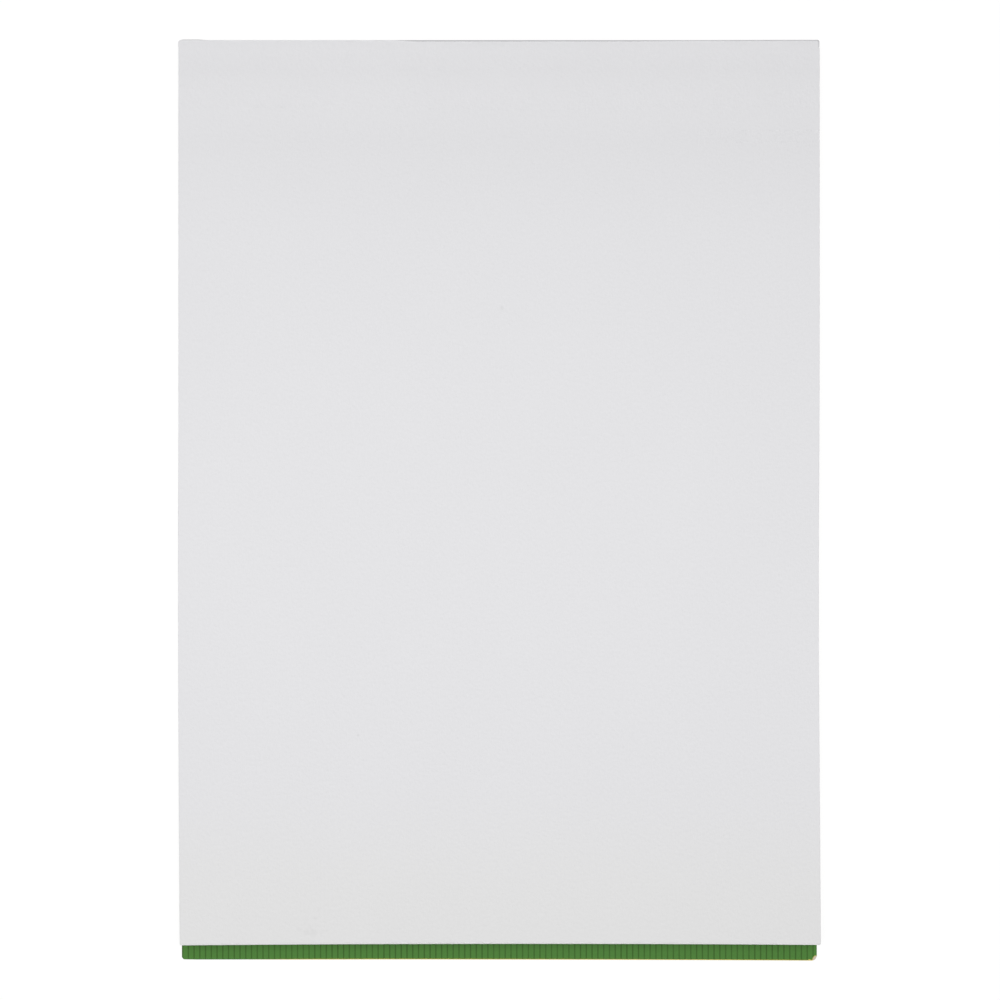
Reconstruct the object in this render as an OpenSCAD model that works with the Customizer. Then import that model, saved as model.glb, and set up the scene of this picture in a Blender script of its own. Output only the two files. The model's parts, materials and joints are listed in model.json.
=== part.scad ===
// Watercolour paper pad, lying flat with its top sheet up and its card cover folded behind it.
// The sheets and a stiff back board are knocked up square at the head and trimmed in one cut.
// A film of gum, brushed over the head and a little way round both corners, holds them together.
// The cover is one card with two creases: a flap glued under the board, a spine panel as high as
// the pad is thick, and a front panel as long as the sheets. It closes over the top sheet, or it
// turns right round behind the board, as here, where it reaches past the foot of the sheets.
// The head is towards +Y and the thickness runs up +Z. The origin is at the middle of the pad's
// box, on the surface that it lies on.

/* [Paper] */
// Width of the sheets, the board and the cover, all trimmed in one cut
pad_w = 210; // [105:1:420]
// Length of the sheets and the board from head to foot
sheet_l = 296.3; // [148:0.1:594]
// Number of sheets
sheet_n = 12; // [6:1:24]
// Thickness of one sheet
sheet_t = 0.45; // [0.25:0.01:0.8]
// Most that a sheet's trimmed edges stand out of line with the board's
sheet_drift = 0.06; // [0:0.01:0.1]
// How far the top sheet has slid to the right at the foot, where nothing holds the sheets
sheet_slide = 0.45; // [0:0.05:2]
// Length of the foot end that has slid
slide_l = 95; // [20:5:140]
// Radius of the foot corners of the sheets and the board
sheet_corner_r = 0.4; // [0.2:0.1:3]

/* [Back board] */
// Thickness of the board
board_t = 1.5; // [0.6:0.1:3]

/* [Head gum] */
// Thickness of the gum film over the head
gum_t = 0.3; // [0.2:0.05:0.6]
// How far the gum reaches round each head corner
gum_wrap = 2; // [1:0.5:6]
// Thickness of the gum film on the sides
gum_side_t = 0.25; // [0.15:0.05:0.4]
// How far the gum stops below the face of the top sheet
gum_low = 0.1; // [0:0.05:0.3]
// Radius of the gum's outer head corners
gum_corner_r = 0.3; // [0.1:0.05:0.4]

/* [Cover] */
// Thickness of the cover card
cover_t = 0.3; // [0.2:0.05:0.5]
// Depth of the flap glued under the board
flap_l = 12; // [6:1:40]
// How much longer the front panel is than the sheets
front_over = 0.2; // [-10:0.1:1]
// Depth of the score pressed into the printed side at the front crease
score_d = 0.1; // [0.05:0.05:0.15]
// Radius of the left foot corner of the front panel
cover_corner_r = 1.1; // [0.3:0.1:5]
// Radius of the right foot corner of the front panel, which is worn
worn_corner_r = 1.7; // [0.3:0.1:5]

/* [Clearances] */
// Gap between the flap and the spine panel when it is folded under it
fold_gap = 0.06; // [0.04:0.01:0.2]
// Gap between the gum and the spine panel when the cover is closed
spine_clear = 0.05; // [0.03:0.01:0.3]
// Gap between the top sheet and the front panel when the cover is closed
top_clear = 0.15; // [0.05:0.05:0.5]
// Gap between the spine panel and the front panel at their crease
crease_gap = 0.04; // [0.02:0.01:0.1]

/* [Hidden] */

round_fn = 64;       // facets of a full circle, for view only
cut_over = 1;        // how far a cut runs past what it cuts
drift_turn_x = 137;  // degrees from one sheet's sideways drift to the next sheet's
drift_turn_y = 83;   // degrees from one sheet's drift at the foot to the next sheet's

// Heights, from the surface that the pad lies on
crease_r = cover_t + fold_gap / 2;
hinge_z = crease_r;
flap_z = cover_t + fold_gap;
board_z = flap_z + cover_t;
sheets_z = board_z + board_t;
sheets_top = sheets_z + sheet_n * sheet_t;

// The spine panel is as high as it has to be to lay the front panel on the top sheet
spine_h = sheets_top + top_clear - hinge_z;
front_l = sheet_l + front_over;

// Places from head to foot. The box runs from the fold's round back to the front panel's foot
// edge or to the foot of the sheets, whichever reaches further
head_set_back = crease_r + spine_clear + gum_t;
reach = max(spine_h + front_l, head_set_back + sheet_l + sheet_drift);
hinge_y = (crease_r + reach) / 2 - crease_r;
head_y = hinge_y - head_set_back;
gum_face_y = head_y + gum_t;
foot_y = head_y - sheet_l;
front_crease_y = hinge_y - spine_h;
cover_foot_y = front_crease_y - front_l;

paper_colour = [0.93, 0.93, 0.94];
board_colour = [0.66, 0.63, 0.58];
gum_colour = [0.80, 0.80, 0.82];
printed_green = [0.30, 0.46, 0.22];

// A rectangle between two corners
module rectangle(x0, y0, x1, y1) {
    translate([x0, y0]) square([x1 - x0, y1 - y0]);
}

// What is trimmed off a corner at the lower left, with the corner at the origin
module corner_waste(r) {
    difference() {
        rectangle(-cut_over, -cut_over, r, r);
        translate([r, r]) circle(r = r, $fn = round_fn);
    }
}

// A trimmed sheet seen from above: square at the head, its two foot corners rounded
module trimmed_outline(x0, x1, y_foot, y_head, r_left, r_right) {
    difference() {
        rectangle(x0, y_foot, x1, y_head);
        translate([x0, y_foot]) corner_waste(r_left);
        translate([x1, y_foot]) mirror([1, 0]) corner_waste(r_right);
    }
}

// A sheet seen from above: square at the head, slid to the right at the foot, its foot corners rounded
module slid_outline(x0, x1, y_foot, y_head, slide, r) {
    difference() {
        polygon([[x0, y_head], [x0, y_foot + slide_l], [x0 + slide, y_foot + r], [x0 + slide, y_foot],
                 [x1 + slide, y_foot], [x1 + slide, y_foot + r], [x1, y_foot + slide_l], [x1, y_head]]);
        translate([x0 + slide, y_foot]) corner_waste(r);
        translate([x1 + slide, y_foot]) mirror([1, 0]) corner_waste(r);
    }
}

// One sheet of the block. The head edges are flush, because the gum holds them there. The guillotine
// leaves the other edges a hair out of line, and the higher a sheet lies, the further it has slid at
// the foot. Both show as a line between each sheet and the next
module sheet(i) {
    drift_x = sheet_drift * sin(i * drift_turn_x);
    drift_y = sheet_drift * sin(i * drift_turn_y);
    slide = sheet_slide * (i + 1) / sheet_n;
    translate([0, 0, sheets_z + i * sheet_t])
        linear_extrude(sheet_t)
            slid_outline(drift_x - pad_w / 2, drift_x + pad_w / 2, foot_y + drift_y, head_y,
                         slide, sheet_corner_r);
}

module paper_sheets() {
    color(paper_colour)
        for (i = [0 : sheet_n - 1])
            sheet(i);
}

module back_board() {
    color(board_colour)
        translate([0, 0, board_z])
            linear_extrude(board_t)
                trimmed_outline(-pad_w / 2, pad_w / 2, foot_y, head_y, sheet_corner_r, sheet_corner_r);
}

// The gum from above, before the paper is taken out of it. Its outer corners are rounded
module gum_outline() {
    side_x = pad_w / 2 + gum_side_t;
    difference() {
        rectangle(-side_x, head_y - gum_wrap, side_x, gum_face_y);
        translate([-side_x, gum_face_y]) mirror([0, 1]) corner_waste(gum_corner_r);
        translate([side_x, gum_face_y]) mirror([0, 1]) mirror([1, 0]) corner_waste(gum_corner_r);
    }
}

// The gum follows every edge of the sheets and the board that it was brushed over
module head_gum() {
    color(gum_colour)
        difference() {
            translate([0, 0, board_z])
                linear_extrude(sheets_top - gum_low - board_z)
                    gum_outline();
            paper_sheets();
            back_board();
        }
}

// The flap ends flush with the gum, clear of the round back of the fold
module cover_glue_flap() {
    color(printed_green)
        translate([0, 0, flap_z])
            linear_extrude(cover_t)
                rectangle(-pad_w / 2, gum_face_y - flap_l, pad_w / 2, gum_face_y);
}

// Half of the score, a groove across the whole card with its bottom on the crease
module score_groove() {
    translate([0, front_crease_y, cover_t])
        rotate([45, 0, 0])
            cube([pad_w + 2 * cut_over, score_d * sqrt(2), score_d * sqrt(2)], center = true);
}

// The spine panel carries the round back of the fold, which turns about its own centre line
module cover_spine_panel() {
    color(printed_green) {
        difference() {
            linear_extrude(cover_t)
                rectangle(-pad_w / 2, front_crease_y + crease_gap / 2, pad_w / 2, hinge_y);
            score_groove();
        }
        translate([0, hinge_y, hinge_z])
            rotate([0, 90, 0])
                cylinder(h = pad_w, r = crease_r, center = true, $fn = round_fn);
    }
}

module cover_front_panel() {
    color(printed_green)
        difference() {
            linear_extrude(cover_t)
                trimmed_outline(-pad_w / 2, pad_w / 2, cover_foot_y, front_crease_y - crease_gap / 2,
                                cover_corner_r, worn_corner_r);
            score_groove();
        }
}

paper_sheets();
back_board();
head_gum();
cover_glue_flap();
cover_spine_panel();
cover_front_panel();
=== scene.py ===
# %% [markdown]
# # A watercolour paper pad
#
# A pad like this is a block of heavy sheets on a stiff board. The head is brushed with gum, and one
# printed card wraps round it as a cover. Here the cover is folded right round behind the pad, so
# that all we see of it from above is a narrow strip past the foot. Each step below makes one piece
# or one finish, and says what it is on the real pad and why it is made this way.

# %% Load the frame
import json
import math

import bmesh
import bpy
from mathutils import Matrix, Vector, noise


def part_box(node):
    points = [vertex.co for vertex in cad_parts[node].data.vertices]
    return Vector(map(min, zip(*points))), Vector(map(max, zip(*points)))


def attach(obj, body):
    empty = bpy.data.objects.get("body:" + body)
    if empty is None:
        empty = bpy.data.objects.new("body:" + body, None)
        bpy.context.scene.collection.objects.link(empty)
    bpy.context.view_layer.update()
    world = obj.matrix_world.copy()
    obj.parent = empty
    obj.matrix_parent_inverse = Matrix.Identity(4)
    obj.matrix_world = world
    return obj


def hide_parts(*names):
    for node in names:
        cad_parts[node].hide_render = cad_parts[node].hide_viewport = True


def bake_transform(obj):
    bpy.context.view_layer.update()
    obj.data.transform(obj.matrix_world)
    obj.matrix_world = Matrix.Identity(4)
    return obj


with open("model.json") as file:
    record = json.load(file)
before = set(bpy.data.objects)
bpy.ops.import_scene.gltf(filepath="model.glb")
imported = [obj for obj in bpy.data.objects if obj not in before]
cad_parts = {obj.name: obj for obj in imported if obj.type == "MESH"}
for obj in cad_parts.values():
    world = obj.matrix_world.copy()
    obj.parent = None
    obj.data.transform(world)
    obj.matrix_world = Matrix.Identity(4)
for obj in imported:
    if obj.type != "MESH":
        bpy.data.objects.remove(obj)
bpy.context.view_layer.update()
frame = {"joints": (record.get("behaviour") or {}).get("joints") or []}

MM = 0.001


# %% [markdown]
# ## Sizes
#
# The solids are the drawing that every piece is made to. We read each size from them once and give
# it the name that a bookbinder would use. The board is the plainest of them, so it gives the
# trimmed size of the whole pad.

# %% Read the sizes from the solids
board_low, board_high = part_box("back_board")
block_low, block_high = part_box("paper_sheets")
gum_low, gum_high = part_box("head_gum")
flap_low, flap_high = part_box("cover_glue_flap")
spine_low, spine_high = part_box("cover_spine_panel")
front_low, front_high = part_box("cover_front_panel")
hinge_at = {joint["name"]: Vector(joint["pos_m"]) for joint in frame["joints"]}

half_width = board_high.x
head_y = board_high.y
foot_y = board_low.y
pad_top = block_high.z
sheet_count = 12  # the solids hold them as one block
sheet_thickness = (block_high.z - block_low.z) / sheet_count
card_thickness = front_high.z - front_low.z
crease_y = hinge_at["cover_hinge"].y
fold_at = hinge_at["spine_hinge"]
fold_radius = spine_high.y - fold_at.y
print("trimmed", round(2 * half_width / MM, 1), "by", round((head_y - foot_y) / MM, 1), "mm,",
      sheet_count, "sheets of", round(sheet_thickness / MM, 2), "mm")

# %% [markdown]
# ## Camera
#
# The picture was taken from straight above, as a copy stand does it. The lens is long, so the pad
# keeps its right angles, but the cover lies lower than the top sheet and looks one part in a hundred
# narrower. That share and the pad's thickness give the camera's height.

# %% Place the camera
camera_height = 726 * MM
camera_x = 0.3 * MM
camera_y = 0.40 * MM
floor_scale = 3.0224  # pixels for each millimetre on the cover, in a picture 1000 pixels wide
picture_width = 1000
sensor = 36.0


def into_scene(name, data):
    """A new object in the scene that holds a camera, a mesh or a lamp."""
    thing = bpy.data.objects.new(name, data)
    bpy.context.scene.collection.objects.link(thing)
    return thing


camera_data = bpy.data.cameras.new("copy_stand_camera")
camera_data.sensor_width = sensor
camera_data.lens = sensor * floor_scale * (camera_height - front_high.z) / MM / picture_width
camera_data.clip_start = 0.01
camera = into_scene("copy_stand_camera", camera_data)
camera.location = (camera_x, camera_y, camera_height)
bpy.context.scene.camera = camera
print("lens", round(camera_data.lens, 1), "mm on a sensor of", sensor, "mm")

# %% [markdown]
# ## Node helpers
#
# A material is a small tree of nodes. A few helpers keep the trees short enough to read: they add a
# node and fill its sockets, do one step of arithmetic, lay noise over the piece's own coordinates,
# and blend two colours. Object coordinates are in metres here, so all pattern sizes are given in
# millimetres and turned into scales.

# %% Nodes and arithmetic
def add(tree, kind, inputs=None, **settings):
    """A new node, with its settings and with values or links in the sockets that inputs names."""
    node = tree.nodes.new(kind)
    for name, value in settings.items():
        setattr(node, name, value)
    for name, value in (inputs or {}).items():
        if isinstance(value, bpy.types.NodeSocket):
            tree.links.new(value, node.inputs[name])
        else:
            node.inputs[name].default_value = value
    return node


def sum_of(tree, operation, first, second=0.0, third=0.0):
    """One arithmetic step. Each argument is a number or a socket."""
    node = add(tree, "ShaderNodeMath", {0: first, 1: second, 2: third}, operation=operation)
    return node.outputs[0]


def ramp(tree, value, low, high, to_low=0.0, to_high=1.0):
    """The value carried from one range to another with soft ends."""
    node = add(tree, "ShaderNodeMapRange", {"Value": value, "From Min": low, "From Max": high,
                                            "To Min": to_low, "To Max": to_high},
               interpolation_type="SMOOTHSTEP")
    return node.outputs["Result"]


# %% Noise and colours
def grain(tree, size, detail, stretch=(1, 1, 1)):
    """Noise from 0 to 1 whose spots measure about size metres, stretched along the axes."""
    place = add(tree, "ShaderNodeTexCoord").outputs["Object"]
    scale = [1 / (size * share) for share in stretch]
    scaled = add(tree, "ShaderNodeMapping", {"Vector": place, "Scale": scale})
    node = add(tree, "ShaderNodeTexNoise", {"Vector": scaled.outputs[0], "Scale": 1.0, "Detail": detail,
                                            "Roughness": 0.55}, noise_dimensions="3D")
    return node.outputs["Fac"]


def vary(tree, tone, spots, depth):
    """The tone with noise laid over it, which leaves its average as it is."""
    return sum_of(tree, "MULTIPLY_ADD", sum_of(tree, "SUBTRACT", spots, 0.5), depth, tone)


def tint(tree, share, first, second):
    """The first colour where share is 0 and the second where it is 1."""
    node = add(tree, "ShaderNodeMix", {0: share, 6: first, 7: second}, data_type="RGBA")
    return node.outputs[2]


def shade(tree, colour, factor):
    """The colour made lighter or darker by a factor."""
    start = colour if isinstance(colour, bpy.types.NodeSocket) else colour[:3]
    node = add(tree, "ShaderNodeVectorMath", {0: start, "Scale": factor}, operation="SCALE")
    return node.outputs[0]


# %% Places, relief and finished materials
def object_axis(tree, axis):
    """One of the piece's own coordinates, in metres."""
    place = add(tree, "ShaderNodeTexCoord").outputs["Object"]
    return add(tree, "ShaderNodeSeparateXYZ", {0: place}).outputs[axis]


def distance_from(tree, point):
    """How far a place on the piece is from a point, in metres."""
    place = add(tree, "ShaderNodeTexCoord").outputs["Object"]
    return add(tree, "ShaderNodeVectorMath", {0: place, 1: point}, operation="DISTANCE").outputs["Value"]


def relief(tree, height, distance):
    """A bump from a height between 0 and 1 that stands for distance metres."""
    node = add(tree, "ShaderNodeBump", {"Height": height, "Distance": distance, "Strength": 1.0})
    return node.outputs["Normal"]


def finish_material(name, paint, roughness, specular):
    """A material whose colour, roughness and relief come from paint(tree), as sockets or numbers."""
    material = bpy.data.materials.new(name)
    material.use_nodes = True
    tree = material.node_tree
    shader = tree.nodes["Principled BSDF"]
    shader.inputs["Roughness"].default_value = roughness
    shader.inputs["Specular IOR Level"].default_value = specular
    for socket, value in paint(tree).items():
        tree.links.new(value, shader.inputs[socket])
    print("finish", name, "has", len(tree.nodes), "nodes")
    return material


def rgb(red, green, blue):
    """A colour as a painter sees it, from 0 to 255, turned into the light it reflects."""
    linear = [((c / 255 + 0.055) / 1.055) ** 2.4 if c > 10 else c / 255 / 12.92 for c in (red, green, blue)]
    return (*linear, 1.0)


print("a middle grey of 128 reflects", round(100 * rgb(128, 128, 128)[0]), "% of the light")


# %% [markdown]
# ## Watercolour paper
#
# Watercolour paper is heavy, unglazed and a cool white. Its tooth is a soft, irregular relief about
# a millimetre across, pressed in by felts, with finer fibre in it that runs a little longer along
# the sheet. None of it is dark, so we keep nearly all of the pattern in the relief and only a breath
# of it in the colour. A print of the tooth in grey would look dirty. The real sheet also has two
# specks, and a smudge near the foot. It is a little greyer near its edges and less blue towards the
# foot, and it has been bent back at the head often enough to leave faint waves there. All of that is
# here too. The waves are in the top sheet's shape, and the light and shade that they catch are also
# painted into the colour as faint bands.

# %% Paper
paper_white = rgb(233, 232.8, 235)
paper_aged = rgb(233, 232.8, 233)
aged_from = 10 * MM  # from the foot, where the paper is fully aged
aged_to = 58 * MM
rim_width = 0.4 * MM
rim_strength = 0.055
rim_share_at_head = 0.5  # how much of the rim is left at the head edge
rim_share_at_foot = 0.25
tooth_size = 1.1 * MM
fibre_size = 0.35 * MM
cloud_size = 38 * MM
rim_patch_size = 9 * MM
speck_dark = rgb(150, 148, 146)
marks = [  # across, along and radius in millimetres, and strength
    (0.95, 63.3, 1.00, 0.08),
    (-46.15, -76.65, 0.65, 0.12),
    (-60.9, -141.3, 1.90, 0.060),
    (-63.2, -141.2, 1.50, 0.055),
    (-65.4, -140.3, 1.10, 0.035),
    (-57.9, -141.1, 1.10, 0.035),
    (-56.6, -140.9, 0.90, 0.030),
    (-61.9, -139.2, 1.10, 0.035),
    (-63.4, -138.2, 0.90, 0.025),
    (-60.2, -136.5, 1.10, 0.030),
    (-59.2, -134.2, 0.75, 0.055),
]
# Painted shade and painted light: darker and lighter bands that stand in for how the faint waves near the
# head catch the light.
painted_wave_shade = [  # millimetres from the head, half width, and how much darker, or lighter where negative
    (3.3, 3.5, -0.007),
    (10.5, 4.5, 0.0075),
    (18.7, 5.0, -0.004),
    (33.5, 8.0, 0.007),
    (42.5, 22.0, 0.009),
]


def paint_paper(tree):
    tooth = grain(tree, tooth_size, detail=2.0)
    fibre = grain(tree, fibre_size, detail=2.0, stretch=(1, 4, 1))
    cloud = grain(tree, cloud_size, detail=2.0, stretch=(1, 1.5, 1))
    tone = 1.0
    for spots, depth in ((cloud, 0.016), (fibre, 0.030), (tooth, 0.024)):
        tone = vary(tree, tone, spots, depth)

    # Painted shade and painted light: faint bands across the sheet that stand in for the shading of the
    # waves near the head
    along = object_axis(tree, "Y")
    for from_head, half, strength in painted_wave_shade:
        off = sum_of(tree, "ABSOLUTE", sum_of(tree, "SUBTRACT", along, head_y - from_head * MM))
        tone = sum_of(tree, "SUBTRACT", tone, ramp(tree, off, 0.0, half * MM, strength, 0.0))

    # A greyer rim along the trimmed edges, stronger in patches, and weaker at the head and at the foot
    inset = add(tree, "ShaderNodeAttribute", attribute_name="from_edge").outputs["Fac"]
    rim = ramp(tree, inset, 0.0, rim_width, rim_strength, 0.0)
    rim_patches = ramp(tree, grain(tree, rim_patch_size, detail=2.0), 0.3, 0.7, 0.2, 1.6)
    at_head = ramp(tree, along, head_y - 1.6 * MM, head_y - 0.6 * MM, 1.0, rim_share_at_head)
    at_foot = ramp(tree, along, foot_y + 0.6 * MM, foot_y + 1.6 * MM, rim_share_at_foot, 1.0)
    for share in (rim_patches, at_head, at_foot):
        rim = sum_of(tree, "MULTIPLY", rim, share)
    tone = sum_of(tree, "SUBTRACT", tone, rim)

    # Less blue towards the foot, and the marks on top
    aged = ramp(tree, along, foot_y + aged_from, foot_y + aged_to, 1.0, 0.0)
    colour = shade(tree, tint(tree, aged, paper_white, paper_aged), tone)
    for x, y, radius, strength in marks:
        away = distance_from(tree, (x * MM, y * MM, pad_top))
        share = ramp(tree, away, radius * MM * 0.2, radius * MM, strength, 0.0)
        colour = tint(tree, share, colour, speck_dark)
    height = sum_of(tree, "MULTIPLY_ADD", fibre, 0.25, tooth)
    return {"Base Color": colour, "Normal": relief(tree, height, 0.09 * MM)}


paper = finish_material("watercolour_paper", paint_paper, roughness=0.92, specular=0.25)


# %% [markdown]
# ## Cut paper edges
#
# A guillotine leaves the edge of a sheet slightly rougher and greyer than its face, with the fibres
# dragged along the cut. The lines between the sheets aren't painted. They come from the sheets
# themselves, which are separate slabs with softened edges.

# %% Cut edge of the paper
cut_grey = rgb(208, 206, 202)


def paint_cut_paper(tree):
    drag = grain(tree, 0.12 * MM, detail=2.0, stretch=(9, 9, 1))
    spots = grain(tree, 1.6 * MM, detail=3.0, stretch=(1, 1, 0.5))
    tone = vary(tree, vary(tree, 0.97, drag, 0.14), spots, 0.06)
    return {"Base Color": shade(tree, cut_grey, tone), "Normal": relief(tree, drag, 0.05 * MM)}


cut_paper = finish_material("cut_paper_edge", paint_cut_paper, roughness=0.95, specular=0.2)


# %% [markdown]
# ## Trimmed slabs
#
# Sheets, board and card are all the same kind of thing: a flat slab, trimmed square at the head,
# with soft edges and slightly rounded foot corners. A cube with a Bevel modifier would make the
# edges, but not corners of different sizes, nor a face that can be bent. So one function lofts a
# slab from columns of points that run from foot to head, round the end and back. Where two
# neighbouring edges of the grid come close together, near the sides and the foot, the surface can
# turn a soft edge.

# %% Places along a slab
corner_parts = 6  # steps in the quarter turn of a corner


def spread(low, high, step, fine=()):
    """Places from low to high: the fine distances in from both ends, and even steps between them."""
    inset = fine[-1] if fine else 0.0
    start, stop = low + inset, high - inset
    count = max(1, round((stop - start) / step))
    middle = [start + (stop - start) * i / count for i in range(count + 1)]
    return [low + d for d in fine[:-1]] + middle + [high - d for d in reversed(fine[:-1])]


def corner_steps(radius, soft):
    """Distances in from a side that follow a round corner evenly, and the soft edge before it."""
    turns = [radius * (1 - math.cos(math.pi / 2 * i / corner_parts)) for i in range(1, corner_parts + 1)]
    return [0.0, soft * 0.3, soft] + [d for d in turns if d > 1.5 * soft] + [radius * 1.6, radius * 3]


def corner_rise(inset, radius):
    """How far a round corner lifts the foot edge, at a distance in from the side."""
    if inset >= radius:
        return 0.0
    return radius - math.sqrt(max(0.0, radius * radius - (radius - inset) ** 2))


print("a 1 mm corner is followed in", len(corner_steps(1 * MM, 0.05 * MM)), "steps")


# %% Loft a trimmed slab
def loft(name, columns, profile, ends):
    """A closed mesh from columns, each a closed loop with the same count of points. A point has its
    place and its distance in from the trimmed edge. profile names the finish of each stretch of the
    loop, and ends the finish of the two sides."""
    count = len(columns[0])
    points = [point[:3] for column in columns for point in column]
    insets = [point[3] for column in columns for point in column]
    faces, kinds = [], []
    for i in range(len(columns) - 1):
        for k in range(count):
            a, b = i * count + k, i * count + (k + 1) % count
            faces.append((a, a + count, b + count, b))
            kinds.append(profile[k])
    last = (len(columns) - 1) * count
    for start, turn in ((0, 1), (last, -1)):
        for k in range(count // 2 - 1):
            corner = (start + k, start + k + 1, start + count - 2 - k, start + count - 1 - k)
            faces.append(corner[::turn])
            kinds.append(ends)
    mesh = bpy.data.meshes.new(name)
    mesh.from_pydata(points, [], faces)
    mesh.polygons.foreach_set("material_index", kinds)
    mesh.attributes.new("from_edge", "FLOAT", "POINT").data.foreach_set("value", insets)
    return into_scene(name, mesh)


# %% Finish a piece
smooth_up_to = 25  # degrees between two faces that still shade as one


def turn_faces_out(piece, smooth_angle=smooth_up_to):
    """Points every face outwards and keeps only gentle turns smooth."""
    shape = bmesh.new()
    shape.from_mesh(piece.data)
    bmesh.ops.remove_doubles(shape, verts=shape.verts, dist=1e-7)
    bmesh.ops.recalc_face_normals(shape, faces=shape.faces)
    shape.to_mesh(piece.data)
    shape.free()
    piece.data.shade_smooth()
    piece.data.set_sharp_from_angle(angle=math.radians(smooth_angle))
    triangles = sum(len(face.vertices) - 2 for face in piece.data.polygons)
    print("piece", piece.name, "has", triangles, "triangles")
    return piece


def dress(piece, body, slot, materials, *nodes):
    """Gives a finished piece its materials and the body that it moves with, and hides the solids it stands
    for.
    """
    for material in materials:
        piece.data.materials.append(material)
    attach(piece, body)
    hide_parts(*nodes)


# %% [markdown]
# ## Where the sheets wander
#
# The sheets are held only at the head, so towards the foot they have slid a little to the right,
# the top ones most. The knife has left their foot edge slightly hollow, and handling has rubbed the
# right side in by a hair below the middle. At the head the drying gum has drawn in the right corner,
# and the top sheet stands back from the gum along the right two thirds. All of this is less than
# half a millimetre, but a stack with ruled straight edges looks like a box.

# %% Small departures from the drawing
side_x = half_width + 0.05 * MM  # the sheets stand a hair proud of the board
slide_at_foot = 0.42 * MM
slide_starts = -50 * MM
sway = -0.13 * MM
sway_middle = -25 * MM
sway_reach = 65 * MM
rub_all = -0.03 * MM
rub = -0.15 * MM
rub_middle = -35 * MM
rub_reach = 85 * MM
rub_width = 25 * MM
foot_in = 0.20 * MM
foot_turn = 0.065 * MM  # at 100 mm from the middle
foot_hollow = 0.40 * MM  # at 100 mm from the middle
set_back_from = -34 * MM
set_back_to = -29 * MM
head_in = 0.045 * MM
top_set_back = 0.42 * MM
top_set_back_right = 0.28 * MM
right_from = 40 * MM
right_to = 66 * MM
stack_set_back = 0.13 * MM
stack_room = 0.045 * MM  # what the sheets below may drift at the head without coming through the gum
sheet_drift = (0.05 * MM, 0.04 * MM, 0.0)
gum_reach = 2.45 * MM
top_drawn_in = 0.36 * MM
stack_drawn_in = 0.33 * MM
drawn_share = 4.0 * MM
drawn_step = 0.12 * MM


def soft_step(value, low, high):
    t = min(1.0, max(0.0, (value - low) / (high - low)))
    return t * t * (3 - 2 * t)


def hump(value, middle, reach):
    """1 at the middle, falling softly to 0 at the reach on both sides."""
    return max(0.0, 1 - ((value - middle) / reach) ** 2) ** 2


def slide(y):
    """How far the top sheet has moved to the right at y."""
    t = min(1.0, max(0.0, (slide_starts - y) / (slide_starts - foot_y)))
    return slide_at_foot * t * t + sway * hump(y, sway_middle, sway_reach)


def rubbed(x, y):
    """How far handling has pushed the right side in."""
    return (rub_all + rub * hump(y, rub_middle, rub_reach)) * soft_step(x, side_x - rub_width, side_x)


def foot_line(x):
    """Where the knife cut the foot of the sheets at x."""
    t = x / (100 * MM)
    return foot_y + foot_in + foot_turn * t - foot_hollow * t * t


def head_line(x, set_back):
    """Where a sheet ends at the head at x, when it stands back by set_back on the right."""
    return head_y - head_in - (set_back - head_in) * soft_step(x, set_back_from, set_back_to)


def stack_head_line(x):
    """The same for the sheets below and for the board."""
    return head_line(x, stack_set_back) - stack_room


def top_head_line(x):
    """The same for the top sheet, which stands back less towards the right corner."""
    share = soft_step(x, right_from, right_to)
    return head_line(x, top_set_back + (top_set_back_right - top_set_back) * share)


def side_pull(x, y, drawn_in):
    """How far the gum has drawn a point of the right head corner in."""
    return drawn_in * soft_step(y, head_y - gum_reach - drawn_step, head_y - gum_reach + drawn_step) \
        * soft_step(x, side_x - drawn_share, side_x)


print("the top sheet has moved", round(slide(foot_y) / MM, 2), "mm to the right at the foot")

# %% [markdown]
# ## The sheets
#
# A stack is the plainest case of something that repeats by a rule, so Geometry Nodes deal the sheets
# out: one slab goes in, and the tree copies it up a line, moves each copy by a small seeded amount
# and slides the upper ones towards the right. Separate slabs give the fine lines along the cut edges,
# which catch the light as no painted stripe would. The top sheet is a piece of its own, because its
# face is the one that shows and has a fine grid, with a slight swell.

# %% A trimmed sheet
sheet_soft = 0.05 * MM
sheet_corner = 0.5 * MM
head_corner = 0.7 * MM
edge_row = 0.5 * MM  # in from the head and the foot edge, where an extra row of points lies
coarse_step = 12 * MM


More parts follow.
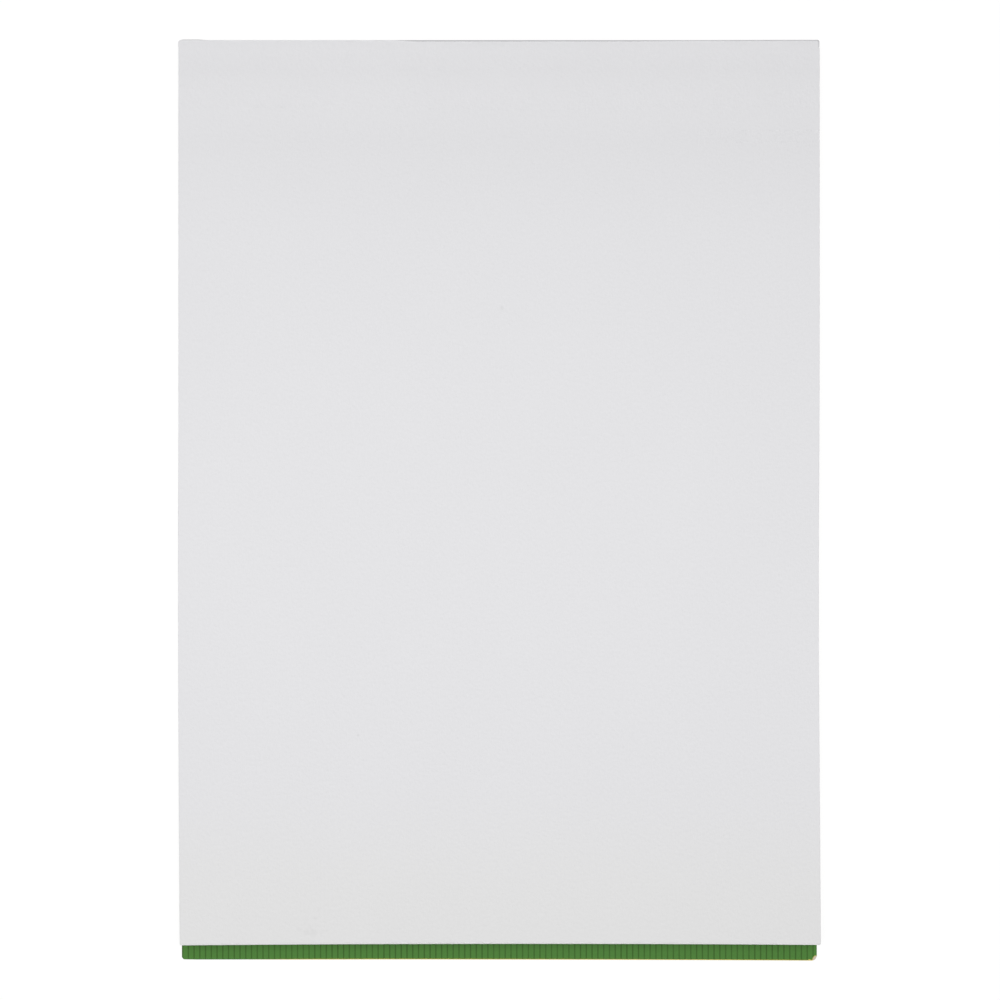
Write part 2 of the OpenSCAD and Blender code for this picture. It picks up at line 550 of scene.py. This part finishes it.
def trimmed_sheet(name, step, bottom, thickness, foot_at, head_at, swell=None, nudge=None):
    """A sheet with soft edges. swell lifts a point of it, and nudge moves one sideways."""
    fine = corner_steps(sheet_corner, sheet_soft)
    across = spread(-side_x, side_x, step, fine)
    along = spread(0.0, 1.0, step / (head_y - foot_y))
    columns = []
    for x in across:
        inset = side_x - abs(x)
        low = foot_at(x) + corner_rise(inset, sheet_corner)
        high = head_at(x) - corner_rise(inset, head_corner)
        thin = sheet_soft - min(inset, sheet_soft)
        rows = [(low + sheet_soft * 0.3, 0.3), (low + sheet_soft, 0.0), (low + edge_row, 0.0)]
        rows += [(low + (high - low) * t, 0.0) for t in along[1:-1]]
        rows += [(head_y - gum_reach + d, 0.0) for d in (-drawn_step, 0.0, drawn_step)]
        rows += [(high - edge_row, 0.0), (high - sheet_soft, 0.0), (high - sheet_soft * 0.3, 0.3)]
        drop = [max(thin, sheet_soft * share) for y, share in rows]
        loop = [(low, thickness - sheet_soft)]
        loop += [(y, thickness - d) for (y, share), d in zip(rows, drop)]
        loop += [(high, thickness - sheet_soft), (high, sheet_soft)]
        loop += [(y, d) for (y, share), d in zip(reversed(rows), reversed(drop))]
        loop += [(low, sheet_soft)]
        column = []
        for y, z in loop:
            lift = swell(x, y) if swell else 0.0
            push = nudge(x, y) if nudge else 0.0
            column.append((x + push, y, bottom + z + lift, min(inset, y - low, high - y)))
        columns.append(column)
    stretch = len(rows) + 1
    profile = [1] + [0] * (stretch - 2) + [1, 1, 1] + [0] * (stretch - 2) + [1, 1]
    return turn_faces_out(loft(name, columns, profile, ends=1))


# %% The top sheet
fine_step = 3 * MM
swell_height = 0.03 * MM
swell_length = 26 * MM
swell_fade = 30 * MM
wander_across = 90 * MM
wander_along = 60 * MM


def top_swell(x, y):
    """The faint waves that bending back has left near the head. A bare number in a place in the
    noise picks a slice of it, here and in the gum, so that no two patterns are alike."""
    from_head = head_y - y
    fade = math.exp(-from_head / swell_fade)
    wander = noise.noise(Vector((x / wander_across, y / wander_along, 3.1)))
    return swell_height * (fade * (math.cos(math.tau * from_head / swell_length) - 1) + 0.8 * (wander - 1))


def top_nudge(x, y):
    return slide(y) + rubbed(x, y) - side_pull(x, y, top_drawn_in)


sheet_bottom = block_low.z + (sheet_count - 1) * sheet_thickness
top_sheet = trimmed_sheet("top_sheet", fine_step, sheet_bottom, sheet_thickness, foot_line, top_head_line,
                          swell=top_swell, nudge=top_nudge)
dress(top_sheet, "pad", "paper", [paper, cut_paper], "paper_sheets")


# %% A tree that deals sheets
upright_below = 0.8  # how much a face on a cut edge may look up at most


def sheet_dealer():
    """A tree that deals one slab into a stack. Its sizes are inputs of the modifier."""
    tree = bpy.data.node_groups.new("deal_sheets", "GeometryNodeTree")
    for name, kind in (("Slab", "Geometry"), ("Sheets", "Int"), ("Thickness", "Float"), ("Drift", "Vector"),
                       ("Bottom", "Float"), ("Seed", "Int"), ("Face", "Material"), ("Edge", "Material")):
        tree.interface.new_socket(name, in_out="INPUT", socket_type="NodeSocket" + kind)
    tree.interface.new_socket("Stack", in_out="OUTPUT", socket_type="NodeSocketGeometry")
    given = add(tree, "NodeGroupInput").outputs

    # Copies of the slab up a line, each moved by a small seeded amount
    rise = add(tree, "ShaderNodeCombineXYZ", {"Z": given["Thickness"]}).outputs[0]
    start = add(tree, "ShaderNodeCombineXYZ", {"Z": given["Bottom"]}).outputs[0]
    line = add(tree, "GeometryNodeMeshLine", {"Count": given["Sheets"], "Offset": rise,
                                              "Start Location": start}, mode="OFFSET").outputs[0]
    copies = add(tree, "GeometryNodeInstanceOnPoints",
                 {"Points": line, "Instance": given["Slab"]}).outputs[0]
    back = add(tree, "ShaderNodeVectorMath", {0: given["Drift"], "Scale": -1.0},
               operation="SCALE").outputs[0]
    draw = add(tree, "FunctionNodeRandomValue", {"Min": back, "Max": given["Drift"], "Seed": given["Seed"]},
               data_type="FLOAT_VECTOR").outputs["Value"]
    moved = add(tree, "GeometryNodeTranslateInstances",
                {"Instances": copies, "Translation": draw}).outputs[0]
    real = add(tree, "GeometryNodeRealizeInstances", {0: moved}).outputs[0]

    # A sheet slides further the higher it lies in the stack
    place = add(tree, "GeometryNodeInputPosition").outputs[0]
    level = add(tree, "ShaderNodeSeparateXYZ", {0: place}).outputs["Z"]
    above = sum_of(tree, "SUBTRACT", level, given["Bottom"])
    share = sum_of(tree, "DIVIDE", above, sum_of(tree, "MULTIPLY", given["Thickness"], given["Sheets"]))
    marked = add(tree, "GeometryNodeInputNamedAttribute", {"Name": "slide"}, data_type="FLOAT")
    push = sum_of(tree, "MULTIPLY", share, marked.outputs["Attribute"])
    move = add(tree, "ShaderNodeCombineXYZ", {"X": push}).outputs[0]
    slid = add(tree, "GeometryNodeSetPosition", {"Geometry": real, "Offset": move}).outputs[0]

    # What stands upright is a cut edge, and the rest is the face of a sheet
    way = add(tree, "GeometryNodeInputNormal").outputs[0]
    upright = sum_of(tree, "ABSOLUTE", add(tree, "ShaderNodeSeparateXYZ", {0: way}).outputs["Z"])
    is_edge = add(tree, "FunctionNodeCompare", {"A": upright, "B": upright_below}, operation="LESS_THAN")
    faced = add(tree, "GeometryNodeSetMaterial", {"Geometry": slid, "Material": given["Face"]}).outputs[0]
    edged = add(tree, "GeometryNodeSetMaterial", {"Geometry": faced, "Selection": is_edge.outputs[0],
                                                  "Material": given["Edge"]}).outputs[0]
    add(tree, "NodeGroupOutput", {"Stack": edged})
    return tree


dealer = sheet_dealer()
print("the dealing tree has", len(dealer.nodes), "nodes")


# %% Deal the sheets with Geometry Nodes
def made_real(piece, tree, **values):
    """Runs a tree on a piece with its inputs set by their identifiers, and keeps only the plain mesh."""
    run = piece.modifiers.new("rule", "NODES")
    run.node_group = tree
    for item in tree.interface.items_tree:
        if item.item_type == "SOCKET" and item.in_out == "INPUT" and item.name in values:
            run[item.identifier] = values[item.name]
    ready = piece.evaluated_get(bpy.context.evaluated_depsgraph_get())
    mesh = bpy.data.meshes.new_from_object(ready)
    piece.modifiers.clear()
    old = piece.data
    piece.data = mesh
    bpy.data.meshes.remove(old)
    mesh.name = piece.name


stack = trimmed_sheet("sheet_stack", coarse_step, 0.0, sheet_thickness, foot_line, stack_head_line,
                      nudge=lambda x, y: -side_pull(x, y, stack_drawn_in))
mark = stack.data.attributes.new("slide", "FLOAT", "POINT")
mark.data.foreach_set("value", [slide(v.co.y) + rubbed(v.co.x, v.co.y) for v in stack.data.vertices])
made_real(stack, dealer, Sheets=sheet_count - 1, Thickness=sheet_thickness,
          Drift=sheet_drift, Bottom=block_low.z, Seed=11, Face=paper, Edge=cut_paper)
stack.data.shade_smooth()
stack.data.set_sharp_from_angle(angle=math.radians(smooth_up_to))
dress(stack, "pad", "paper", [], "paper_sheets")
print("dealt", sheet_count - 1, "sheets,", len(stack.data.polygons), "faces")


# %% [markdown]
# ## The board
#
# Greyboard is pressed from waste paper in several plies. It is dull, warm grey, full of short light
# and dark fibres, and its cut edge shows the plies as faint lines. It gets the same softened slab
# as a sheet, only thicker, and its finish does the rest.

# %% Board
board_warm = rgb(150, 143, 131)
board_light = rgb(182, 176, 164)
fleck_dark = rgb(104, 98, 90)


def paint_board(tree):
    flecks = grain(tree, 0.9 * MM, detail=5.0, stretch=(1, 2.5, 1))
    fine = grain(tree, 0.22 * MM, detail=3.0)
    plies = grain(tree, 0.33 * MM, detail=1.0, stretch=(60, 60, 1))
    pulp = tint(tree, ramp(tree, flecks, 0.35, 0.68), board_warm, board_light)
    flecked = tint(tree, ramp(tree, fine, 0.62, 0.74, 0.0, 0.55), pulp, fleck_dark)
    height = sum_of(tree, "MULTIPLY_ADD", plies, 0.6, fine)
    return {"Base Color": shade(tree, flecked, vary(tree, 1.0, plies, 0.16)),
            "Normal": relief(tree, height, 0.05 * MM)}


greyboard = finish_material("greyboard", paint_board, roughness=0.9, specular=0.2)
board = trimmed_sheet("greyboard", coarse_step, board_low.z, board_high.z - board_low.z, foot_line,
                      stack_head_line, nudge=lambda x, y: -side_pull(x, y, stack_drawn_in))
dress(board, "pad", "greyboard", [greyboard, greyboard], "back_board")


# %% [markdown]
# ## The gum
#
# Padding gum is brushed over the clamped head and dries to a thin, uneven skin. It follows the edges
# of the sheets, turns a little way round both corners and ends there in a ragged line. On this pad
# it is clear and thin on the left, with a drop at the corner, and thicker and greyer on the right,
# where it shows from above as a fine line. It is made of two skins that are joined all round: an
# outer one that stands off by the thickness of the gum, and an inner one just inside the paper.

# %% Walk round the head
left_radius = 0.8 * MM
right_radius = 0.5 * MM
corner_turns = 8
side_steps = 14
head_steps = 260


def head_path():
    """Points round the head from the left side to the right, with the way out from the paper."""
    left, right = -side_x, side_x - stack_drawn_in
    path = []
    top = head_y - head_in
    for i in range(side_steps):
        up = (gum_reach - head_in - left_radius) * i / side_steps
        path.append((left, head_y - gum_reach + up, -1.0, 0.0))
    for i in range(corner_turns + 1):
        turn = math.pi / 2 * i / corner_turns
        out_x, out_y = -math.cos(turn), math.sin(turn)
        path.append((left + left_radius * (1 + out_x), top - left_radius * (1 - out_y), out_x, out_y))
    start, stop = left + left_radius, right - right_radius
    for i in range(1, head_steps):
        x = start + (stop - start) * i / head_steps
        path.append((x, head_line(x, stack_set_back), 0.0, 1.0))
    top = head_y - stack_set_back
    for i in range(corner_turns + 1):
        turn = math.pi / 2 * i / corner_turns
        out_x, out_y = math.sin(turn), math.cos(turn)
        path.append((right - right_radius * (1 - out_x), top - right_radius * (1 - out_y), out_x, out_y))
    for i in range(1, side_steps + 1):
        down = (gum_reach - stack_set_back - right_radius) * i / side_steps
        path.append((right, top - right_radius - down, 1.0, 0.0))
    return path


print("the walk round the head has", len(head_path()), "points")

# %% How thick the gum is
thin_gum = 0.012 * MM
thick_gum = 0.065 * MM
right_gum = 0.16 * MM
drop_gum = 0.275 * MM
corner_gum = 0.20 * MM
left_side_gum = 0.06 * MM
drop_from = 1.9 * MM  # from the left side, where the drop is as thick as it gets
drop_to = -96.5 * MM
right_gum_from = 55 * MM
side_gum_from = 0.9 * MM  # below the head, from where down the gum is as thin as on the sides
head_gum_from = 0.2 * MM  # below the head, from where up it is as thick as on the head
gum_least = 0.012 * MM
hidden_gum = 0.12 * MM  # how far the inner skin lies inside the paper
clear_of_paper = 0.004 * MM
film_above = 0.02 * MM  # the underside of the board
film_below = 0.03 * MM  # the face of the top sheet
ragged_size = 0.9 * MM
ragged_reach = 0.45 * MM
skin_rows = 26


def gum_thickness(x, y, z):
    """How far the dry gum stands off the paper, with its brush marks."""
    set_back = soft_step(x, set_back_from, set_back_to)
    on_head = soft_step(y, head_y - side_gum_from, head_y - head_gum_from)
    in_drop = 1 - soft_step(x, drop_to - 2.5 * MM, drop_to + 1.5 * MM)
    on_left = 1 - soft_step(x, -side_x, -side_x + 0.5 * MM)
    thick = thin_gum + (thick_gum - thin_gum) * set_back
    thick += (drop_gum - thin_gum) * in_drop * on_head * soft_step(x, -side_x, drop_from - side_x)
    thick += (left_side_gum - thin_gum) * on_left * (1 - on_head)
    thick += (right_gum - thick_gum) * soft_step(x, right_gum_from, side_x)
    thick += (corner_gum - right_gum) * soft_step(x, side_x - 1.2 * MM, side_x - 0.6 * MM)
    streak = noise.noise(Vector((x / (14 * MM), z / (0.5 * MM), 0.7)))
    bead = noise.noise(Vector((x / (3 * MM), z / (1.5 * MM), 5.2)))
    brushed = (0.030 * streak + 0.015 * bead) * MM * soft_step(pad_top - z, 0.0, 1.0 * MM)
    brushed *= 0.25 + 0.75 * set_back
    return max(gum_least, thick + brushed)


for place, x in (("left drop", -100 * MM), ("left part", -60 * MM), ("right part", 40 * MM)):
    print("gum on the", place, round(gum_thickness(x, head_y, pad_top / 2) / MM, 3), "mm")


# %% Brush the gum
def brush_gum():
    low, high = board_low.z + film_above, pad_top - film_below
    path = head_path()
    count = len(path)
    points, faces = [], []
    for skin in (1, 0):
        for row in range(skin_rows):
            share = row / (skin_rows - 1)
            for i, (x, y, out_x, out_y) in enumerate(path):
                z = low + (high - low) * share
                from_end = min(i, count - 1 - i)
                ragged = noise.noise(Vector((z / ragged_size, 7.0 if i < count / 2 else 9.0, 0.0)))
                ease = soft_step(from_end, 0.0, 1.6)
                set_back = soft_step(x, set_back_from, set_back_to)
                hidden = hidden_gum + (top_set_back - stack_set_back) * set_back
                off = gum_thickness(x, y, z) * ease + clear_of_paper if skin else -hidden
                slip = ragged_reach * ragged * (1 - soft_step(from_end, 0.0, 5.0))
                points.append((x + out_x * off, y + out_y * off + slip, z))
    sheet = skin_rows * count
    for row in range(skin_rows - 1):
        for i in range(count - 1):
            a = row * count + i
            b = a + count
            faces.append((a, a + 1, b + 1, b))
            faces.append((sheet + a + 1, sheet + a, sheet + b, sheet + b + 1))
    top = (skin_rows - 1) * count
    for i in range(count - 1):
        faces.append((top + i, top + i + 1, sheet + top + i + 1, sheet + top + i))
        faces.append((i + 1, i, sheet + i, sheet + i + 1))
    for row in range(skin_rows - 1):
        for i, turn in ((0, 1), (count - 1, -1)):
            a = row * count + i
            faces.append((a, a + count, sheet + a + count, sheet + a)[::turn])
    mesh = bpy.data.meshes.new("gum_film")
    mesh.from_pydata(points, [], faces)
    return turn_faces_out(into_scene("gum_film", mesh), smooth_angle=50)


# %% Dried gum
clear_gum = rgb(226, 225, 226)
grey_gum = rgb(193, 192, 195)


def paint_gum(tree):
    across = object_axis(tree, "X")
    wobble = grain(tree, 2.2 * MM, detail=3.0)
    streaks = grain(tree, 0.3 * MM, detail=3.0, stretch=(14, 14, 1))

    # Clear on the left and grey on the right, with a dry brush end between them
    dragged = sum_of(tree, "MULTIPLY_ADD", streaks, 9 * MM, across)
    brush_end = sum_of(tree, "MULTIPLY_ADD", wobble, 4 * MM, dragged)
    grey_share = ramp(tree, brush_end, set_back_from + 4 * MM, set_back_to + 5 * MM)
    colour = tint(tree, grey_share, clear_gum, grey_gum)

    # A shallow groove where two sheets meet, filled here and there
    above = sum_of(tree, "SUBTRACT", object_axis(tree, "Z"), block_low.z)
    sheets = sum_of(tree, "DIVIDE", above, sheet_thickness)
    from_middle = sum_of(tree, "ABSOLUTE", sum_of(tree, "SUBTRACT", sum_of(tree, "FRACT", sheets), 0.5))
    filled = ramp(tree, grain(tree, 0.8 * MM, detail=3.0, stretch=(9, 9, 1)), 0.35, 0.65, 0.25, 1.0)
    groove = ramp(tree, from_middle, 0.32, 0.5)
    for share in (ramp(tree, sheets, -0.1, 0.1), filled):
        groove = sum_of(tree, "MULTIPLY", groove, share)

    # Streaks, painted shade in the grooves, and a lighter right end and lighter sides
    tone = vary(tree, 0.98, streaks, 0.16)
    tone = sum_of(tree, "SUBTRACT", tone, sum_of(tree, "MULTIPLY", groove, 0.06))
    on_side = ramp(tree, object_axis(tree, "Y"), head_y - 1.2 * MM, head_y - 0.4 * MM, 0.05, 0.0)
    for lighter in (ramp(tree, across, 0.0, side_x, 0.0, 0.10), on_side):
        tone = sum_of(tree, "ADD", tone, lighter)
    gloss = ramp(tree, streaks, 0.3, 0.7, 0.34, 0.55)
    carved = sum_of(tree, "MULTIPLY", groove, 0.6)
    height = sum_of(tree, "SUBTRACT", sum_of(tree, "MULTIPLY", streaks, 0.5), carved)
    return {"Base Color": shade(tree, colour, tone), "Roughness": gloss,
            "Normal": relief(tree, height, 0.06 * MM)}


gum = finish_material("dried_gum", paint_gum, roughness=0.4, specular=0.4)
gum_film = brush_gum()
dress(gum_film, "pad", "gum", [gum], "head_gum")
print("the gum in the drawing is", round((gum_high.y - gum_low.y) / MM, 2), "mm from its front to its ends")


# %% [markdown]
# ## The printed card
#
# The cover is coated card, printed green with fine upright lines on its outer side and bare inside.
# The lines are spaced by a rule, so arithmetic draws them: we divide the distance across the card by
# the pitch, keep the fraction, and darken where it is close to the middle, with soft sides as on
# coated card. The lines can't slide, because they read the card's own coordinates. Ink is never quite
# even, so noise varies the lines and the ground a little. Printed green is blue laid over yellow. So
# where the foot edge is rubbed, which is all but its left end, and at the knock near the right
# corner, the blue has gone first and left a yellow rim. At the worn corner both are gone, and the
# cream core shows.

# %% Lines and wear of the print
first_line = -102.81 * MM
line_pitch = 1.8984 * MM  # at the left, from where it grows by a hair towards the right
pitch_growth = 7.4e-5  # share of a pitch, for each line
line_width = 0.46 * MM
line_soft = 0.16 * MM
print_green = rgb(75, 131, 48)
line_green = rgb(54.5, 102.5, 24.5)
core_cream = rgb(214, 203, 186)
under_yellow = rgb(234, 211, 104)
rim_from = -92 * MM
rim_to = -60 * MM
rim_print_width = 0.20 * MM
worn_corner = (105.1 * MM, front_low.y + 0.35 * MM, front_high.z)
worn_reach = 1.3 * MM
worn_ragged = 0.5 * MM
worn_fringe = 0.22 * MM  # the yellow left between the green and the bare corner
rubbed_all = 1.2 * MM  # from the foot edge, up to where the rim is rubbed
rubbed_none = 1.9 * MM
nick_middle = 102.75 * MM
nick_half = 1.0 * MM
nick_width = 0.42 * MM


def worn_print(tree):
    """Where the blue has been rubbed off the foot edge, and where all of the print has."""
    across = object_axis(tree, "X")
    inset = add(tree, "ShaderNodeAttribute", attribute_name="from_edge").outputs["Fac"]
    ragged = grain(tree, 0.5 * MM, detail=3.0)
    along = object_axis(tree, "Y")
    at_foot = ramp(tree, along, front_low.y + rubbed_all, front_low.y + rubbed_none, 1.0, 0.0)
    rim = ramp(tree, across, rim_from, rim_to, 0.0, rim_print_width)
    nick_off = sum_of(tree, "ABSOLUTE", sum_of(tree, "SUBTRACT", across, nick_middle))
    rim = sum_of(tree, "MAXIMUM", rim, ramp(tree, nick_off, 0.0, nick_half, nick_width, 0.0))
    rim = sum_of(tree, "MULTIPLY", sum_of(tree, "MULTIPLY_ADD", ragged, 1.1, 0.45), rim)
    past_rim = sum_of(tree, "SUBTRACT", sum_of(tree, "MULTIPLY", rim, at_foot), inset)
    reach = sum_of(tree, "MULTIPLY_ADD", ragged, worn_ragged, worn_reach - worn_ragged / 2)
    past_corner = sum_of(tree, "SUBTRACT", reach, distance_from(tree, worn_corner))
    past_fringe = sum_of(tree, "ADD", past_corner, worn_fringe)
    yellow = sum_of(tree, "MAXIMUM", ramp(tree, past_rim, -0.03 * MM, 0.03 * MM),
                    ramp(tree, past_fringe, -0.15 * MM, 0.15 * MM, 0.0, 0.7))
    return yellow, ramp(tree, past_corner, -0.12 * MM, 0.12 * MM)


print("about", round(2 * half_width / line_pitch), "lines cross the card")


# %% Printed side of the card
def paint_print(tree):
    across = sum_of(tree, "SUBTRACT", object_axis(tree, "X"), first_line)
    even = sum_of(tree, "DIVIDE", across, line_pitch)
    stretch = sum_of(tree, "MULTIPLY", sum_of(tree, "MULTIPLY", even, even), pitch_growth)
    turns = sum_of(tree, "ADD", sum_of(tree, "SUBTRACT", even, stretch), 0.5)
    off = sum_of(tree, "ABSOLUTE", sum_of(tree, "SUBTRACT", sum_of(tree, "FRACT", turns), 0.5))
    width = line_width / line_pitch / 2
    soft = line_soft / line_pitch / 2
    line = ramp(tree, off, width - soft, width + soft, 1.0, 0.0)
    ink = ramp(tree, grain(tree, 9 * MM, detail=2.0), 0.3, 0.7, 0.75, 1.0)
    mottle = grain(tree, 0.6 * MM, detail=3.0)
    ground = shade(tree, print_green, vary(tree, 1.0, mottle, 0.10))
    printed = tint(tree, sum_of(tree, "MULTIPLY", line, ink), ground, line_green)
    rubbed_rim, worn = worn_print(tree)
    colour = tint(tree, worn, tint(tree, rubbed_rim, printed, under_yellow), core_cream)
    gloss = sum_of(tree, "MULTIPLY_ADD", worn, 0.4, 0.5)
    height = sum_of(tree, "SUBTRACT", sum_of(tree, "MULTIPLY", mottle, 0.25), worn)
    return {"Base Color": colour, "Roughness": gloss, "Normal": relief(tree, height, 0.04 * MM)}


printed_side = finish_material("printed_card", paint_print, roughness=0.5, specular=0.25)


# %% Bare side and cut edge of the card
bare_white = rgb(226, 222, 212)


def paint_bare(tree):
    fibre = grain(tree, 0.5 * MM, detail=4.0, stretch=(1, 3, 1))
    cloud = grain(tree, 25 * MM, detail=2.0)
    tone = vary(tree, vary(tree, 0.975, fibre, 0.05), cloud, 0.04)
    return {"Base Color": shade(tree, bare_white, tone), "Normal": relief(tree, fibre, 0.02 * MM)}


def paint_core(tree):
    fibre = grain(tree, 0.14 * MM, detail=3.0, stretch=(5, 5, 1))
    tone = vary(tree, 0.98, fibre, 0.2)
    return {"Base Color": shade(tree, core_cream, tone), "Normal": relief(tree, fibre, 0.03 * MM)}


bare_side = finish_material("bare_card", paint_bare, roughness=0.75, specular=0.3)
card_edge = finish_material("cut_card_edge", paint_core, roughness=0.95, specular=0.2)


# %% [markdown]
# ## The cover
#
# Spine panel and front panel are one card, so they are one mesh, from the foot edge to the round back
# of the fold. It bends at the front crease: there the rows stand close together and follow the
# score, a shallow groove in the printed side. The fold at the other end turns through three
# quarters of a circle between folded behind and closed, so its back is a full round about the
# hinge's own line, which looks the same at every angle. The flap under the board is the short end
# of the same card, beyond the fold.

# %% Edges of the cover
card_soft = 0.04 * MM
score_depth = 0.1 * MM
score_half = 0.35 * MM
crease_half = 0.6 * MM
left_corner = 1.05 * MM
right_corner = 1.7 * MM
edge_in = 0.56 * MM
edge_turn = 0.108 * MM  # at 100 mm from the middle
rim_room = 0.107 * MM  # how much further the card reaches where its rim is rubbed
edge_hollow = 0.235 * MM  # at 100 mm from the middle
dip_middle = -35 * MM
dip_reach = 32 * MM
dip = 0.035 * MM
left_end_in = 0.09 * MM
left_end = 8 * MM
card_x = half_width + 0.04 * MM
card_shift = 0.085 * MM  # how far the front panel's foot has swung to the right
card_step = 15 * MM
foot_rows = (0.15 * MM, 0.3 * MM, 0.5 * MM, 0.8 * MM, 1.2 * MM)  # from the foot edge
even_from = 3 * MM  # from the foot edge, where the even rows begin
crease_steps = 16
bare_flat = 10 * MM  # from the crease. Nearer to it the bare side is flat, as it isn't scored
round_steps = 20


def cover_foot(x):
    """The foot edge of the front panel at x, with its two round corners."""
    t = x / (100 * MM)
    radius = left_corner if x < 0 else right_corner
    trimmed = front_low.y + edge_in - edge_turn * t - edge_hollow * t * t
    trimmed += dip * hump(x, dip_middle, dip_reach) - rim_room * soft_step(x, rim_from, rim_to)
    trimmed += left_end_in * (1 - soft_step(x, -card_x, left_end - card_x))
    return trimmed + corner_rise(card_x - abs(x), radius)


def fold_round(thin):
    """The round back of the fold, from the printed side over the top to the bare side."""
    start = math.pi - math.asin((card_thickness - thin - fold_at.z) / fold_radius)
    stop = -math.pi / 2
    arc = []
    for i in range(round_steps + 1):
        angle = start + (stop - start) * i / round_steps
        arc.append((fold_at.y + fold_radius * math.cos(angle), fold_at.z + fold_radius * math.sin(angle)))
    return arc


print("the cover's foot edge lies", round((foot_y - cover_foot(0.0)) / MM, 2), "mm past the board's")


# %% Spine and front panel
def make_cover():
    fine = corner_steps(right_corner, card_soft)
    across = spread(-card_x, card_x, card_step, fine)
    along = spread(even_from, crease_y - front_low.y - crease_half, card_step)
    close = [crease_y - crease_half + 2 * crease_half * i / crease_steps for i in range(crease_steps + 1)]
    columns = []
    for x in across:
        low = cover_foot(x)
        thin = card_soft - min(card_x - abs(x), card_soft)
        rows = [(low + card_soft * 0.3, 0.7 * card_soft), (low + card_soft, 0.0)]
        rows += [(low + d, 0.0) for d in foot_rows]
        rows += [(front_low.y + d, 0.0) for d in along[:-1]]
        rows += [(y, score_depth * max(0.0, 1 - abs(y - crease_y) / score_half)) for y in close]
        printed = [(low, card_thickness - card_soft)]
        printed += [(y, card_thickness - max(thin, drop)) for y, drop in rows]
        arc = fold_round(thin)
        bare = [(y, max(thin, drop if y < crease_y - bare_flat else 0.0)) for y, drop in reversed(rows)]
        bare += [(low, card_soft)]
        columns.append([(x + card_shift * soft_step(-y, 0.0, -foot_y), y, z, min(card_x - abs(x), y - low))
                        for y, z in printed + arc + bare])
    stretch = len(printed)
    profile = [2] + [0] * (stretch - 1) + [1] * (round_steps + 1) + [1] * (stretch - 2) + [2, 2]
    return turn_faces_out(loft("cover_card", columns, profile, ends=2))


cover = make_cover()
for finish in (printed_side, bare_side, card_edge):
    cover.data.materials.append(finish)
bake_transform(cover)
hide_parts("cover_spine_panel", "cover_front_panel")
print("the spine panel measures", round((spine_high.y - spine_low.y) / MM, 2), "mm with its round back")


# %% The flap under the board
def make_flap():
    fine = [0.0, card_soft * 0.3, card_soft]
    across = spread(-half_width, half_width, card_step, fine)
    columns = []
    for x in across:
        thin = card_soft - min(half_width - abs(x), card_soft)
        low, high = flap_low.y, flap_high.y
        rows = [(low + card_soft * 0.3, 0.7 * card_soft), (low + card_soft, 0.0),
                (high - card_soft, 0.0), (high - card_soft * 0.3, 0.7 * card_soft)]
        upper = [(low, flap_high.z - card_soft)]
        upper += [(y, flap_high.z - max(thin, drop)) for y, drop in rows]
        upper += [(high, flap_high.z - card_soft)]
        lower = [(high, flap_low.z + card_soft)]
        lower += [(y, flap_low.z + max(thin, drop)) for y, drop in reversed(rows)]
        lower += [(low, flap_low.z + card_soft)]
        columns.append([(x, y, z, min(half_width - abs(x), y - low, high - y)) for y, z in upper + lower])
    stretch = len(rows) + 1
    profile = [2] + [1] * (stretch - 2) + [2, 2, 2] + [0] * (stretch - 2) + [2, 2]
    return turn_faces_out(loft("glue_flap", columns, profile, ends=2))


flap = make_flap()
dress(flap, "pad", "cover_card", [printed_side, bare_side, card_edge], "cover_glue_flap")


# %% [markdown]
# ## Floor and light
#
# The pad lies on a plain white sweep. A large soft lamp hangs above it, a little to the left, and
# the room gives the rest, so the top sheet is brightest left of its middle and falls off slowly
# towards its corners. The floor is kept brighter than the paper, as on a light table, because white
# paper on a white floor has to stay apart from it.

# %% Floor
floor_side = 6.0
floor_drop = 0.02 * MM
floor_grey = (0.17, 0.17, 0.17, 1.0)
floor_glow = 0.865


def paint_floor(tree):
    haze = grain(tree, 400 * MM, detail=1.0)
    return {"Base Color": shade(tree, floor_grey, vary(tree, 0.995, haze, 0.01))}


floor_mesh = bpy.data.meshes.new("floor")
corner = floor_side / 2
floor_mesh.from_pydata([(-corner, -corner, -floor_drop), (corner, -corner, -floor_drop),
                        (corner, corner, -floor_drop), (-corner, corner, -floor_drop)], [], [(0, 1, 2, 3)])
floor = into_scene("floor", floor_mesh)
floor_white = finish_material("white_floor", paint_floor, roughness=0.9, specular=0.1)
floor_shader = floor_white.node_tree.nodes["Principled BSDF"]
floor_shader.inputs["Emission Color"].default_value = (1.0, 1.0, 1.0, 1.0)
floor_shader.inputs["Emission Strength"].default_value = floor_glow
floor_mesh.materials.append(floor_white)


# %% Light
def soft_lamp(name, at, width, depth, power, beam):
    """A soft box that looks straight down. A narrow beam gathers its light towards the middle."""
    data = bpy.data.lights.new(name, "AREA")
    data.shape = "RECTANGLE"
    data.size = width
    data.size_y = depth
    data.energy = power
    data.spread = math.radians(beam)
    lamp = into_scene(name, data)
    lamp.location = at
    return lamp


overhead = soft_lamp("overhead", at=(-0.065, -0.006, 0.8), width=1.2, depth=0.6, power=1.893, beam=90)
room_strength = 0.37
room_lean = 0.9  # how much brighter the room is on the head side
world = bpy.data.worlds.new("room")
world.use_nodes = True
room = world.node_tree
direction = add(room, "ShaderNodeTexCoord").outputs["Generated"]
towards_head = add(room, "ShaderNodeSeparateXYZ", {0: direction}).outputs["Y"]
room_light = room.nodes["Background"]
room_light.inputs["Color"].default_value = (1.0, 1.0, 1.0, 1.0)
room.links.new(sum_of(room, "MULTIPLY_ADD", towards_head, room_strength * room_lean, room_strength),
               room_light.inputs["Strength"])
bpy.context.scene.world = world
bpy.context.scene.view_settings.view_transform = "Standard"
bpy.context.scene.view_settings.look = "None"
print("a lamp of", round(overhead.data.energy, 2), "W hangs", round(overhead.location.z, 2), "m up")
